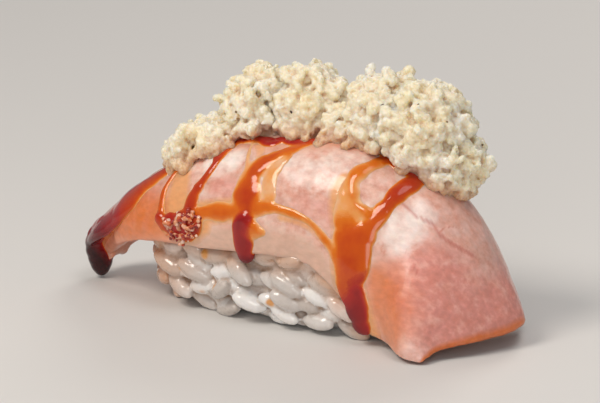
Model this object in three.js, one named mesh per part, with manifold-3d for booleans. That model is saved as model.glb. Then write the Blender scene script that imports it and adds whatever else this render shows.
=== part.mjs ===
// Tuna nigiri: a block of pressed sushi rice, a long slice of lightly seared tuna draped over it,
// a sticky chilli glaze drizzled over the slice, and a heap of tempura crumbs along its top.
// Millimetres. +X runs along the piece to the slice's broad end, +Y across it, +Z up, table at Z = 0.
import * as THREE from "three";
import { mergeVertices } from "three/addons/utils/BufferGeometryUtils.js";
import Module from "manifold-3d";

const wasm = await Module();
wasm.setup();

// ---------------------------------------------------------------- driving dimensions

const GAP = 0.3; // air left between two pieces that lie on each other
const WELD = 1e-4; // corners nearer than this are one

// Pressed rice: a rounded block, widest a little above the table and cut off flat by it.
const RICE = {
  middle: new THREE.Vector3(1.75, 0, 8.5),
  reach: new THREE.Vector3(29.3, 12.3, 16.5),
  reachBelow: 11,
  squareness: 2.6,
};
const RICE_CORE = { sides: 18, bands: 8 };
const GRAIN = {
  length: 6.6,
  width: 3.4,
  sides: 6,
  bands: 3,
  sunk: 0.2,
  spacing: 3.7,
  lowest: 1.3, // height above the table of the lowest grains' middles
  clearance: 7, // no grain where the slice lies within this distance of the block
  tries: 2600,
};

// The slice's crest line, from the tail tip (station 0) over the rice to the broad end (station 1).
const CREST_X = [
  [0, -41.4], [0.04, -40.4], [0.09, -37.4], [0.2, -28.4], [0.3, -20], [0.41, -10], [0.52, 0],
  [0.63, 10], [0.73, 19], [0.82, 26.8], [0.9, 32.8], [0.96, 37.4], [1, 40.2],
];
const CREST_Z = [
  [0, 4], [0.04, 8.2], [0.09, 11.8], [0.2, 19.8], [0.3, 24.8], [0.41, 28.4], [0.52, 30],
  [0.63, 30], [0.73, 28.2], [0.82, 24.2], [0.9, 17.8], [0.96, 9.7], [1, 2.8],
];
// Half width that the slice would have on the table, and the part of the way there that it reaches.
const HALF_FRONT = [
  [0, 4.5], [0.1, 9.5], [0.2, 13.5], [0.35, 15.5], [0.6, 15.5], [0.75, 14.2], [0.8, 14],
  [0.84, 15], [0.88, 16.2], [0.91, 17], [0.96, 17.7], [1, 16.9],
];
const HALF_BACK = [
  [0, 4.5], [0.1, 9.5], [0.2, 13.5], [0.35, 15.5], [0.6, 16], [0.75, 15.5], [0.88, 13], [1, 11],
];
const REACH_FRONT = [
  [0, 0.3], [0.08, 0.36], [0.2, 0.54], [0.35, 0.63], [0.6, 0.64], [0.68, 0.72], [0.72, 0.86],
  [0.75, 0.95], [0.79, 0.97], [0.86, 0.96], [1, 0.96],
];
const REACH_BACK = [
  [0, 0.3], [0.08, 0.36], [0.2, 0.54], [0.35, 0.62], [0.5, 0.63], [0.7, 0.68], [0.85, 0.78], [1, 0.8],
];
// Squareness of the arch that it makes over the rice: 2 is an ellipse, more has squarer shoulders.
const DRAPE_FRONT = [[0, 2.4], [0.7, 2.4], [0.86, 2.05], [1, 2.05]];
const DRAPE_BACK = [[0, 2.4], [1, 2.4]];
// Millimetres that the broad end falls back along X per millimetre across, once clear of the crest.
const FALL = [[0, 0], [0.55, 0], [0.8, 0.3], [1, 0.6]];
const FALL_ROUNDING = 5;
const THICKNESS = [
  [0, 4.2], [0.1, 5.4], [0.22, 4.8], [0.3, 4.6], [0.4, 5.6], [0.5, 6.2], [0.75, 5.6], [0.9, 4.2],
  [0.96, 2.6], [1, 1.3],
];
// Share of the thickness that is lost at the two edges.
const EDGE_THINNING = [[0, 0], [0.76, 0], [0.88, 0.5], [1, 0.6]];
const SLICE = {
  edge: 4.5, // squareness of its own section: 2 is an ellipse, more is a slab with rounded edges
  slabAspect: 2.3, // a ring has about this many times more points on its broad faces than on its cut sides
  uprightBelow: 17, // a cut edge nearer the table than this leans towards upright
  uprightAbove: 1,
  uprightGain: 0.2, // share of the thickness that an upright edge gains
  lowest: 0.05,
  stations: 28,
  around: 24,
};
// Each end is rounded over by smaller rings, as [station, share of the whole section].
const TAIL_RINGS = [[0, 0.6], [0.005, 0.86]];
const WHOLE_RINGS = { first: 0.015, last: 0.993 };
const BROAD_RINGS = [[0.998, 0.86], [1, 0.6]];

// Glaze. A run has its height, then [station, place across, half width] knots; across goes from -1 at
// the front edge to 1 at the back edge, and beyond them straight down, one whole thickness for each 1.
const GLAZE = {
  sunk: 0.7,
  section: [0, 60, 120, 180, 270], // degrees round a run's section
  step: 3.3,
  endSize: 0.55, // a run's first and last section, as a share of the whole one
  edge: 0.98, // the skin turns so sharply past this place across that its direction isn't used
  turnDown: { from: 0.9, over: 0.3, share: 0.85 }, // where and how far a run turns to face sideways
};
const GLAZE_RUNS = [
  // front: down the tail to its tip
  [0.75, [[0.31, -0.15, 0.9], [0.25, -0.42, 1.1], [0.2, -0.62, 1.5], [0.155, -0.8, 1.9],
    [0.11, -0.95, 2.1], [0.065, -0.9, 2.3], [0.02, -0.6, 2]]],
  // front: thin lines into the soaked crumbs
  [0.55, [[0.33, -0.15, 0.7], [0.3, -0.5, 0.8], [0.29, -0.76, 0.9], [0.305, -1.15, 1]]],
  [0.6, [[0.41, -0.2, 0.7], [0.385, -0.6, 0.9], [0.362, -0.86, 1.1], [0.355, -1.1, 1]]],
  // front: along the upper edge of the cut side
  [0.5, [[0.34, -0.99, 1.2], [0.4, -0.94, 1.6], [0.44, -0.95, 1.5], [0.48, -0.94, 1.7], [0.53, -0.9, 1.3],
    [0.57, -0.91, 0.8], [0.62, -0.93, 0.7], [0.66, -0.96, 0.7], [0.715, -0.98, 0.9]]],
  // front: broad run beside the middle of the heap, widening to a sheet
  [0.55, [[0.545, -0.26, 0.9], [0.508, -0.46, 1.2], [0.482, -0.62, 1.9], [0.478, -0.8, 2.4],
    [0.475, -0.98, 1.9]]],
  [0.5, [[0.475, -0.66, 1.1], [0.505, -0.82, 1.8], [0.53, -0.94, 1.3]]],
  // front: the drop that it ends in, on the cut side
  [1, [[0.476, -0.92, 1], [0.482, -1.4, 1.7], [0.484, -1.9, 1.3]]],
  // front: the loop under the right end of the heap
  [0.55, [[0.705, -0.05, 1.1], [0.695, -0.33, 1.4], [0.69, -0.5, 1.1], [0.712, -0.57, 0.9],
    [0.745, -0.5, 1], [0.763, -0.32, 1]]],
  [0.6, [[0.775, -0.05, 1.2], [0.77, -0.27, 1.5], [0.76, -0.45, 1.4], [0.745, -0.62, 1.6],
    [0.733, -0.82, 1.9], [0.735, -1, 1.7]]],
  [0.5, [[0.695, -0.62, 0.8], [0.706, -0.78, 1.4], [0.728, -0.95, 1.6]]],
  // front: the drop under it
  [0.6, [[0.743, -0.8, 1.6], [0.755, -0.87, 2.3], [0.768, -0.94, 1.8]]],
  // back
  [0.6, [[0.22, 0.3, 0.9], [0.2, 0.6, 1.4], [0.19, 0.9, 1.6], [0.2, 1.2, 1.4], [0.2, 1.5, 1.6]]],
  [0.6, [[0.36, 0.3, 0.9], [0.38, 0.62, 1.2], [0.35, 0.9, 1.8], [0.35, 1.3, 1.4], [0.35, 1.85, 1.5]]],
  [0.6, [[0.5, 0.3, 1], [0.52, 0.55, 1.3], [0.55, 0.76, 1.9], [0.55, 1.05, 1.8], [0.55, 1.5, 1.7]]],
  [0.5, [[0.68, 0.3, 1], [0.66, 0.55, 1.3], [0.62, 0.75, 1], [0.58, 0.82, 1]]],
  [0.6, [[0.72, 0.3, 1], [0.75, 0.6, 1.5], [0.73, 0.85, 1.9], [0.74, 1.1, 1.8], [0.745, 1.75, 2]]],
];
const TAIL_DROP = {
  middle: new THREE.Vector3(-39.7, -1.9, 4.2),
  reach: new THREE.Vector3(2, 3.2, 4),
  sides: 9,
  bands: 6,
};
// Crumbs that the glaze has soaked and stuck to the slice: station, place across, radius.
const SOAKED_CRUMBS = [
  [0.326, -1.25, 1.4], [0.345, -1.55, 1.5], [0.366, -1.4, 1.5], [0.35, -1.12, 1.4], [0.375, -1.12, 1.2],
  [0.46, 0.95, 1.4], [0.475, 1.15, 1.3],
];

// Crumb heap: overlapping mounds (middle, reach), then loose-shaped crumbs all over them.
const MOUNDS = [
  [[-20.2, -4, 24.8], [3.6, 4.8, 4]],
  [[-15.6, -2, 27], [4.6, 6, 4.2]],
  [[-9.3, 1.8, 31.9], [6, 6.8, 7.4]],
  [[-1, 3, 33], [6.8, 6.9, 7.2]],
  [[7, 3, 30], [5, 6.9, 5.6]],
  [[14, 2.2, 34.1], [5.8, 7.2, 7.4]],
  [[21.5, 2.4, 32.5], [6.6, 7.8, 8]],
  [[27, 3, 27.3], [4.5, 6, 5]],
];
const MOUND = { sides: 8, bands: 6, buried: 0.97 }; // buried: share of a mound that hides a crumb's middle
const CRUMB = {
  smallest: 2,
  largest: 2.8,
  spacing: 1.66, // in radii
  roughness: 0.22, // share of the radius that a corner may lie in or out
  squash: 0.9,
  tries: 3000,
};

const COLOUR = {
  rice: { color: 0xd8d0c6, roughness: 0.45, metalness: 0 },
  tuna: { color: 0xe2bfae, roughness: 0.3, metalness: 0 },
  crumbs: { color: 0xe3d3b4, roughness: 0.75, metalness: 0 },
};

// ---------------------------------------------------------------- small helpers

function seeded(seed) {
  let state = seed;
  return () => {
    state = (state + 0x6d2b79f5) | 0;
    let mixed = Math.imul(state ^ (state >>> 15), 1 | state);
    mixed = (mixed + Math.imul(mixed ^ (mixed >>> 7), 61 | mixed)) ^ mixed;
    return ((mixed ^ (mixed >>> 14)) >>> 0) / 4294967296;
  };
}

// Smooth curve through the [at, value] knots, level beyond both ends.
function smoothRule(knots) {
  const slope = knots.map((knot, i) => {
    const before = knots[Math.max(i - 1, 0)];
    const after = knots[Math.min(i + 1, knots.length - 1)];
    return (after[1] - before[1]) / (after[0] - before[0]);
  });
  return (at) => {
    const x = Math.min(Math.max(at, knots[0][0]), knots[knots.length - 1][0]);
    let i = 0;
    while (i < knots.length - 2 && x > knots[i + 1][0]) i += 1;
    const span = knots[i + 1][0] - knots[i][0];
    const t = (x - knots[i][0]) / span;
    const bend = t * t * (3 - 2 * t);
    const start = t * (1 - t) * (1 - t) * span * slope[i];
    const end = t * t * (t - 1) * span * slope[i + 1];
    return knots[i][1] * (1 - bend) + knots[i + 1][1] * bend + start + end;
  };
}

function randomDirection(random) {
  return new THREE.Vector3(2 * random() - 1, 2 * random() - 1, 2 * random() - 1).normalize();
}

// A copy of the geometry with nothing but positions, each corner held once.
function weld(geometry) {
  const bare = geometry.clone();
  bare.deleteAttribute("normal");
  bare.deleteAttribute("uv");
  return mergeVertices(bare, WELD);
}

function toManifold(geometry) {
  const welded = weld(geometry);
  return new wasm.Manifold(
    new wasm.Mesh({
      numProp: 3,
      vertProperties: new Float32Array(welded.attributes.position.array),
      triVerts: new Uint32Array(welded.index.array),
    }),
  );
}

function toGeometry(solid) {
  const mesh = solid.getMesh();
  const geometry = new THREE.BufferGeometry();
  geometry.setAttribute("position", new THREE.BufferAttribute(new Float32Array(mesh.vertProperties), 3));
  geometry.setIndex(new THREE.BufferAttribute(new Uint32Array(mesh.triVerts), 1));
  return geometry;
}

function union(shapes) {
  return shapes.map(toManifold).reduce((whole, shape) => whole.add(shape));
}

function largestBody(solid) {
  const bodies = solid.decompose();
  return bodies.reduce((best, body) => (body.volume() > best.volume() ? body : best));
}

// Closed skin through rings of equally many points, each ring seen anticlockwise from the last one.
// Each four-sided patch is split along its shorter diagonal.
function skin(rings) {
  const count = rings[0].length;
  const points = rings.flat();
  const faces = [];
  for (let ring = 0; ring < rings.length - 1; ring += 1) {
    for (let i = 0; i < count; i += 1) {
      const a = ring * count + i;
      const b = ring * count + ((i + 1) % count);
      if (points[a].distanceTo(points[b + count]) < points[b].distanceTo(points[a + count])) {
        faces.push(a, b, b + count, a, b + count, a + count);
      } else {
        faces.push(a, b, a + count, b, b + count, a + count);
      }
    }
  }
  for (const [ring, first, second] of [[0, 1, 0], [rings.length - 1, 0, 1]]) {
    const middle = new THREE.Vector3();
    rings[ring].forEach((point) => middle.addScaledVector(point, 1 / count));
    points.push(middle);
    for (let i = 0; i < count; i += 1) {
      const pair = [ring * count + i, ring * count + ((i + 1) % count)];
      faces.push(pair[first], pair[second], points.length - 1);
    }
  }
  const geometry = new THREE.BufferGeometry().setFromPoints(points);
  geometry.setIndex(faces);
  return geometry;
}

function ellipsoid(middle, reach, sides, bands) {
  const geometry = new THREE.SphereGeometry(1, sides, bands);
  geometry.scale(reach.x, reach.y, reach.z);
  geometry.translate(middle.x, middle.y, middle.z);
  return geometry;
}

// Everything below the table.
const TABLE = { width: 200, depth: 40 };
const table = toManifold(
  new THREE.BoxGeometry(TABLE.width, TABLE.width, TABLE.depth).translate(0, 0, -TABLE.depth / 2),
);

// ---------------------------------------------------------------- tuna slice

const crestX = smoothRule(CREST_X);
const crestZ = smoothRule(CREST_Z);
const half = { front: smoothRule(HALF_FRONT), back: smoothRule(HALF_BACK) };
const reach = { front: smoothRule(REACH_FRONT), back: smoothRule(REACH_BACK) };
const drape = { front: smoothRule(DRAPE_FRONT), back: smoothRule(DRAPE_BACK) };
const fall = smoothRule(FALL);
const thickness = smoothRule(THICKNESS);
const edgeThinning = smoothRule(EDGE_THINNING);

function upperPoint(station, across) {
  const side = across < 0 ? "front" : "back";
  const angle = (Math.PI / 2) * Math.abs(across) * reach[side](station);
  const power = 2 / drape[side](station);
  const out = Math.sin(angle) ** power;
  const up = Math.cos(angle) ** power;
  const y = Math.sign(across) * half[side](station) * out;
  const x = crestX(station) - fall(station) * (Math.hypot(y, FALL_ROUNDING) - FALL_ROUNDING);
  return new THREE.Vector3(x, y, crestZ(station) * up);
}

// Square to the section at this station and to the crest line there.
function outwardAt(station, across) {
  const step = 0.002;
  const ahead = upperPoint(Math.min(station + step, 1), 0);
  const along = ahead.sub(upperPoint(Math.max(station - step, 0), 0));
  const over = upperPoint(station, Math.min(across + step, 1));
  over.sub(upperPoint(station, Math.max(across - step, -1)));
  return along.cross(over).normalize();
}

function underPoint(station, across) {
  const top = upperPoint(station, across);
  const edge = upperPoint(station, Math.sign(across) || 1).z;
  const climb = (edge - SLICE.uprightAbove) / (SLICE.uprightBelow - SLICE.uprightAbove);
  const upright = THREE.MathUtils.smoothstep(climb, 0, 1) * Math.abs(across) ** 3;
  const inward = outwardAt(station, across).multiplyScalar(1 - upright);
  inward.z += upright;
  inward.normalize();
  const gain = 1 + SLICE.uprightGain * upright;
  const depth = thickness(station) * gain * (1 - edgeThinning(station) * across ** 2);
  top.addScaledVector(inward, -depth);
  top.z = Math.max(top.z, SLICE.lowest);
  return top;
}

// A point of the slice's skin, or of what hangs straight down from its edge where across is beyond -1 or 1.
function slicePoint(station, across) {
  const edge = THREE.MathUtils.clamp(across, -1, 1);
  const point = upperPoint(station, edge);
  point.z -= thickness(station) * Math.abs(across - edge);
  return point;
}

function sliceRing(station, shrink) {
  const ring = [];
  for (let i = 0; i < SLICE.around; i += 1) {
    const angle = (2 * Math.PI * (i + 0.5)) / SLICE.around;
    const wide = Math.cos(angle) / SLICE.slabAspect;
    const tall = Math.sin(angle);
    const size = (Math.abs(wide) ** SLICE.edge + Math.abs(tall) ** SLICE.edge) ** (1 / SLICE.edge);
    const across = (shrink * wide) / size;
    const depth = (1 - (shrink * tall) / size) / 2;
    ring.push(upperPoint(station, across).lerp(underPoint(station, across), depth));
  }
  return ring;
}

// Stations the same distance apart along the crest line, from the first to the last.
function evenStations(first, last, count) {
  const fine = 400;
  const steps = Array.from({ length: fine + 1 }, (_, i) => first + ((last - first) * i) / fine);
  const lengths = [0];
  for (let i = 1; i <= fine; i += 1) {
    lengths.push(lengths[i - 1] + upperPoint(steps[i], 0).distanceTo(upperPoint(steps[i - 1], 0)));
  }
  const spacing = lengths[fine] / (count - 1);
  const rounding = 1e-6;
  const stepAt = (distance) => lengths.findIndex((length) => length >= distance - rounding);
  return Array.from({ length: count }, (_, i) => steps[stepAt(spacing * i)]);
}

function sliceSkin() {
  const whole = evenStations(WHOLE_RINGS.first, WHOLE_RINGS.last, SLICE.stations);
  const rings = [...TAIL_RINGS, ...whole.map((station) => [station, 1]), ...BROAD_RINGS];
  return skin(rings.map(([station, share]) => sliceRing(station, share)));
}

// The same closed shape with its skin moved outwards.
function grown(geometry, margin) {
  const welded = weld(geometry);
  welded.computeVertexNormals();
  const position = welded.attributes.position;
  const normal = welded.attributes.normal;
  for (let i = 0; i < position.count; i += 1) {
    const point = new THREE.Vector3().fromBufferAttribute(position, i);
    point.addScaledVector(new THREE.Vector3().fromBufferAttribute(normal, i), margin);
    position.setXYZ(i, point.x, point.y, point.z);
  }
  return welded;
}

// The way that glaze at this place stands out: from the skin, and past the edge more and more sideways.
function glazeFacing(station, across) {
  const inside = THREE.MathUtils.clamp(across, -GLAZE.edge, GLAZE.edge);
  const { from, over, share } = GLAZE.turnDown;
  const down = (share * THREE.MathUtils.clamp(Math.abs(across) - from, 0, over)) / over;
  const sideways = new THREE.Vector3(0, Math.sign(across), 0);
  return outwardAt(station, inside).multiplyScalar(1 - down).addScaledVector(sideways, down).normalize();
}

// A rope of glaze laid along the skin: sunk into it below, rounded above, smaller at its two ends.
function glazeRun([height, knots]) {
  const rule = (part) => smoothRule(knots.map((knot, i) => [i, knot[part]]));
  const [station, across, width] = [rule(0), rule(1), rule(2)];
  const place = (at) => slicePoint(station(at), across(at));
  const last = knots.length - 1;
  const fine = 40;
  let length = 0;
  for (let i = 0; i < fine; i += 1) {
    length += place((last * i) / fine).distanceTo(place((last * (i + 1)) / fine));
  }
  const steps = Math.max(3, Math.round(length / GLAZE.step));
  const near = 0.05;
  const rings = [];
  for (let i = 0; i <= steps; i += 1) {
    const at = (last * i) / steps;
    const ahead = place(Math.min(at + near, last)).sub(place(Math.max(at - near, 0))).normalize();
    const up = glazeFacing(station(at), across(at));
    const sideways = new THREE.Vector3().crossVectors(up, ahead).normalize();
    const size = i === 0 || i === steps ? GLAZE.endSize : 1;
    rings.push(
      GLAZE.section.map((degrees) => {
        const angle = THREE.MathUtils.degToRad(degrees);
        const rise = Math.sin(angle) * size;
        const lift = rise > 0 ? rise * height * Math.sqrt(width(at)) : rise * GLAZE.sunk;
        const point = place(at).addScaledVector(sideways, Math.cos(angle) * width(at) * size);
        return point.addScaledVector(up, lift);
      }),
    );
  }
  return skin(rings);
}

const crumbRandom = seeded(7);

// One rough little lump.
function roughLump(middle, radius) {
  const lump = weld(new THREE.IcosahedronGeometry(radius, 0));
  const position = lump.attributes.position;
  for (let i = 0; i < position.count; i += 1) {
    const scale = 1 + CRUMB.roughness * (2 * crumbRandom() - 1);
    const point = new THREE.Vector3().fromBufferAttribute(position, i).multiplyScalar(scale);
    position.setXYZ(i, point.x, point.y, point.z * CRUMB.squash);
  }
  lump.rotateX(2 * Math.PI * crumbRandom());
  lump.rotateZ(2 * Math.PI * crumbRandom());
  lump.translate(middle.x, middle.y, middle.z);
  return lump;
}

const bareSlice = sliceSkin();
const toppings = GLAZE_RUNS.map(glazeRun);
toppings.push(ellipsoid(TAIL_DROP.middle, TAIL_DROP.reach, TAIL_DROP.sides, TAIL_DROP.bands));
SOAKED_CRUMBS.forEach(([station, across, radius]) => {
  toppings.push(roughLump(slicePoint(station, across), radius));
});

const slice = largestBody(union([bareSlice, ...toppings]).subtract(table));
const sliceAndAir = slice.add(union([bareSlice, ...toppings].map((shape) => grown(shape, GAP))));

// ---------------------------------------------------------------- rice

// Outermost point of the rice block in a direction, and the way its surface faces there.
function ricePoint(direction) {
  const size = RICE.reach.clone().setZ(direction.z < 0 ? RICE.reachBelow : RICE.reach.z);
  const power = RICE.squareness;
  const total = direction.toArray().reduce((sum, part) => sum + Math.abs(part) ** power, 0);
  const unit = direction.clone().multiplyScalar(total ** (-1 / power));
  const slopes = unit.toArray().map((part) => Math.sign(part) * Math.abs(part) ** (power - 1));
  const facing = new THREE.Vector3(...slopes);
  return { point: unit.multiply(size).add(RICE.middle), facing: facing.divide(size).normalize() };
}

function riceCore() {
  const core = new THREE.SphereGeometry(1, RICE_CORE.sides, RICE_CORE.bands);
  core.rotateX(Math.PI / 2);
  const position = core.attributes.position;
  for (let i = 0; i < position.count; i += 1) {
    const { point } = ricePoint(new THREE.Vector3().fromBufferAttribute(position, i).normalize());
    position.setXYZ(i, point.x, point.y, point.z);
  }
  return core;
}

function riceGrain(point, facing, turn) {
  const grain = new THREE.SphereGeometry(1, GRAIN.sides, GRAIN.bands);
  grain.scale(GRAIN.width / 2, GRAIN.length / 2, GRAIN.width / 2);
  grain.rotateZ(turn);
  grain.applyQuaternion(new THREE.Quaternion().setFromUnitVectors(new THREE.Vector3(0, 0, 1), facing));
  const middle = point.clone().addScaledVector(facing, -GRAIN.sunk);
  grain.translate(middle.x, middle.y, middle.z);
  return grain;
}

// Grains go wherever the slice doesn't cover the block, none nearer another than the spacing.
function riceGrains() {
  const random = seeded(21);
  const cover = new THREE.Mesh(bareSlice, new THREE.MeshBasicMaterial({ side: THREE.DoubleSide }));
  const grains = [];
  const taken = [];
  for (let i = 0; i < GRAIN.tries; i += 1) {
    const turn = Math.PI * random();
    const { point, facing } = ricePoint(randomDirection(random));
    const free = taken.every((other) => other.distanceTo(point) > GRAIN.spacing);
    const clear = new THREE.Raycaster(point, facing, 0, GRAIN.clearance).intersectObject(cover).length === 0;
    if (point.z > GRAIN.lowest && free && clear) {
      taken.push(point);
      grains.push(riceGrain(point, facing, turn));
    }
  }
  return grains;
}

const rice = largestBody(union([riceCore(), ...riceGrains()]).subtract(table).subtract(sliceAndAir));

// ---------------------------------------------------------------- tempura crumbs

function crumbHeap() {
  const random = seeded(5);
  const mounds = MOUNDS.map(([middle, size]) => [new THREE.Vector3(...middle), new THREE.Vector3(...size)]);
  const shapes = mounds.map(([middle, size]) => ellipsoid(middle, size, MOUND.sides, MOUND.bands));
  const taken = [];
  const depthIn = (point, [middle, size]) => point.clone().sub(middle).divide(size).length();
  const buried = (point) => mounds.some((mound) => depthIn(point, mound) < MOUND.buried);
  const surface = new THREE.Mesh(bareSlice, new THREE.MeshBasicMaterial({ side: THREE.DoubleSide }));
  const up = new THREE.Vector3(0, 0, 1);
  const inSlice = (point) => new THREE.Raycaster(point, up).intersectObject(surface).length > 0;
  for (let i = 0; i < CRUMB.tries; i += 1) {
    const [middle, size] = mounds[i % mounds.length];
    const radius = THREE.MathUtils.lerp(CRUMB.largest, CRUMB.smallest, i / CRUMB.tries);
    const point = randomDirection(random).multiply(size).add(middle);
    const apart = ([other, size]) => other.distanceTo(point) > CRUMB.spacing * Math.max(radius, size);
    if (taken.every(apart) && !buried(point) && !inSlice(point)) {
      taken.push([point, radius]);
      shapes.push(roughLump(point, radius));
    }
  }
  return union(shapes);
}

const crumbs = largestBody(crumbHeap().subtract(sliceAndAir));

// ---------------------------------------------------------------- the part

function node(name, solid, { color, roughness, metalness }) {
  const material = new THREE.MeshStandardMaterial({ color, roughness, metalness });
  const mesh = new THREE.Mesh(toGeometry(solid), material);
  mesh.name = name;
  return mesh;
}

const part = new THREE.Group();
part.name = "tuna_nigiri";
part.add(node("rice_bed", rice, COLOUR.rice));
part.add(node("tuna_slice", slice, COLOUR.tuna));
part.add(node("tempura_crumbs", crumbs, COLOUR.crumbs));

// The origin is the middle of the whole part's footprint, on the table.
const box = new THREE.Box3().setFromObject(part);
const middle = box.getCenter(new THREE.Vector3());
part.children.forEach((mesh) => mesh.geometry.translate(-middle.x, -middle.y, -box.min.z));

export default part;
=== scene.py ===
import math
import random

import bmesh
import bpy
import numpy as np
from mathutils import Matrix, Vector, kdtree, noise
from mathutils.bvhtree import BVHTree


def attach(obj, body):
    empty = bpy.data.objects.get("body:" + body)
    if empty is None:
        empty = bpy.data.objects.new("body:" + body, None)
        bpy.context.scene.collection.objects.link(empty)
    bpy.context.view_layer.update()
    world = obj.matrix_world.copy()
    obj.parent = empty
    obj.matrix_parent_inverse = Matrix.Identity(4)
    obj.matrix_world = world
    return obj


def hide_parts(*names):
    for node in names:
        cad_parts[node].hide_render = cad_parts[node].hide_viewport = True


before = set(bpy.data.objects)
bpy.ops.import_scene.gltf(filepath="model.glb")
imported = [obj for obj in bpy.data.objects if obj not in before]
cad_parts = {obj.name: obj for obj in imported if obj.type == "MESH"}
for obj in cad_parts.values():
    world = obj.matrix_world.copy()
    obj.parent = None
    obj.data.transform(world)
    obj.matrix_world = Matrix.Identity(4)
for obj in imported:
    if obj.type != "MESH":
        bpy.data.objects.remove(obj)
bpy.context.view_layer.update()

# --- driving dimensions (millimetres)

MM = 0.001
# From the frame that these shapes are worked out in, whose X = 0 is the middle of the draped slice,
# to the part's frame, whose origin is under the middle of the whole footprint.
TO_PART = Vector((0.8892, 1.1522, 0.0))

CUT_HEIGHT = 0.02  # above the table, where rice and glaze are cut flat

# Near the slice grains take its warm stain; towards the block's tail end they take painted warm shade.
RICE = dict(
    middle=Vector((1.75, 0, 8.5)), reach=Vector((29.3, 12.3, 16.2)), reach_below=11, squareness=2.6,
    core_depth=1.4, warm_near=(0.5, 4.5), warm_shade_end=(-10, -23),
)
# balls: places along a grain's half; lying: radians either way that its length may turn from level;
# covered_within: how near the slice may be above the block's skin for a grain there to be left out;
# growth: least size and random spread; pointed: share of its width gone at its tips
GRAIN = dict(
    length=6.7, width=3.1, flatness=0.92, voxel=0.285, balls=(-0.6, 0, 0.6), lying=0.6, lowest=0.9,
    covered_within=7, growth=(0.9, 0.2), tilting=0.3, pointed=0.18, bent=0.14,
)
# Layers of grains: tries, spacing of their balls, least and most depth of a grain below the block's skin.
GRAIN_LAYERS = [(9000, 2.55, -0.1, 0.3), (9000, 2.15, 0.7, 1.1), (6000, 2.05, 1.4, 1.7)]
GRAIN_UNEVENNESS = [(0.07, 1.3)]  # height and size
# Splashes of glaze on the rice: x, y, z of the middle, and reach.
RICE_STAINS = [
    (-17.4, -11.2, 7.2, 1), (-10.4, -12.2, 5.7, 1.1), (1.2, -12.6, 4.3, 1), (-12.9, -12, 3, 1.5),
    (-11.9, -12.4, 10.6, 1.2), (-21, -10.2, 5, 0.8), (9, 12.8, 5.2, 1.1), (-8, 12.6, 7, 1.3),
]

# The slice's crest line, from the tail tip (station 0) over the rice to the broad end (station 1).
CREST_X = [
    (0, -41.4), (0.04, -40.4), (0.09, -37.4), (0.2, -28.4), (0.3, -20), (0.41, -10), (0.52, 0),
    (0.63, 10), (0.73, 19), (0.82, 26.8), (0.9, 32.8), (0.96, 37.4), (1, 40.2),
]
CREST_Z = [
    (0, 4), (0.04, 8.2), (0.09, 11.8), (0.2, 19.8), (0.3, 24.8), (0.41, 28.4), (0.52, 30),
    (0.63, 30), (0.73, 28.2), (0.82, 24.2), (0.9, 17.8), (0.96, 9.7), (1, 2.8),
]
# Half width that the slice would have on the table, and the part of the way there that it reaches.
HALF_FRONT = [
    (0, 4.5), (0.1, 9.5), (0.2, 13.5), (0.35, 15.5), (0.6, 15.5), (0.75, 14.2), (0.8, 14),
    (0.84, 15), (0.88, 16.2), (0.91, 17), (0.96, 17.7), (1, 16.9),
]
HALF_BACK = [
    (0, 4.5), (0.1, 9.5), (0.2, 13.5), (0.35, 15.5), (0.6, 16), (0.75, 15.5), (0.88, 13), (1, 11),
]
REACH_FRONT = [
    (0, 0.3), (0.08, 0.36), (0.2, 0.54), (0.35, 0.63), (0.6, 0.64), (0.68, 0.72), (0.72, 0.86),
    (0.75, 0.95), (0.79, 0.97), (0.86, 0.96), (1, 0.96),
]
REACH_BACK = [
    (0, 0.3), (0.08, 0.36), (0.2, 0.54), (0.35, 0.62), (0.5, 0.63), (0.7, 0.68), (0.85, 0.78), (1, 0.8),
]
# Squareness of the arch that it makes over the rice: 2 is an ellipse, more has squarer shoulders.
DRAPE_FRONT = [(0, 2.4), (0.7, 2.4), (0.86, 2.05), (1, 2.05)]
DRAPE_BACK = [(0, 2.4), (1, 2.4)]
# Millimetres that the broad end falls back along X per millimetre across, once clear of the crest.
FALL = [(0, 0), (0.55, 0), (0.8, 0.3), (1, 0.6)]
FALL_ROUNDING = 5
THICKNESS = [
    (0, 4.2), (0.1, 5.4), (0.22, 4.8), (0.3, 4.6), (0.4, 5.6), (0.5, 6.2), (0.75, 5.6), (0.9, 4.2),
    (0.96, 2.6), (1, 1.3),
]
EDGE_THINNING = [(0, 0), (0.76, 0), (0.88, 0.5), (1, 0.6)]
# upright_above, lying_below: heights of the edge at which its cut side is upright, and square to the slice;
# upright_gain: how much thicker the slice is where that side is upright; squareness: of the section's
# corners; slab_aspect: how many times more points a ring has on its broad faces than on its cut sides
SLICE = dict(
    squareness=4.5, slab_aspect=2.6, upright_above=17, lying_below=1, upright_gain=0.2, lowest=0.03,
    lowest_inside=0.05, stations=300, around=190, end_rounding=0.012, corner_rounding=0.08,
)
SLICE_UNEVENNESS = [(0.22, 7), (0.1, 2.4), (0.035, 0.9)]  # height and size
END_WAVES = [(0.45, 5.2, 1.1), (0.25, 13, 0)]  # height, turns and start of the broad end's waves
END_WAVES_FROM = 0.93  # station

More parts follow.
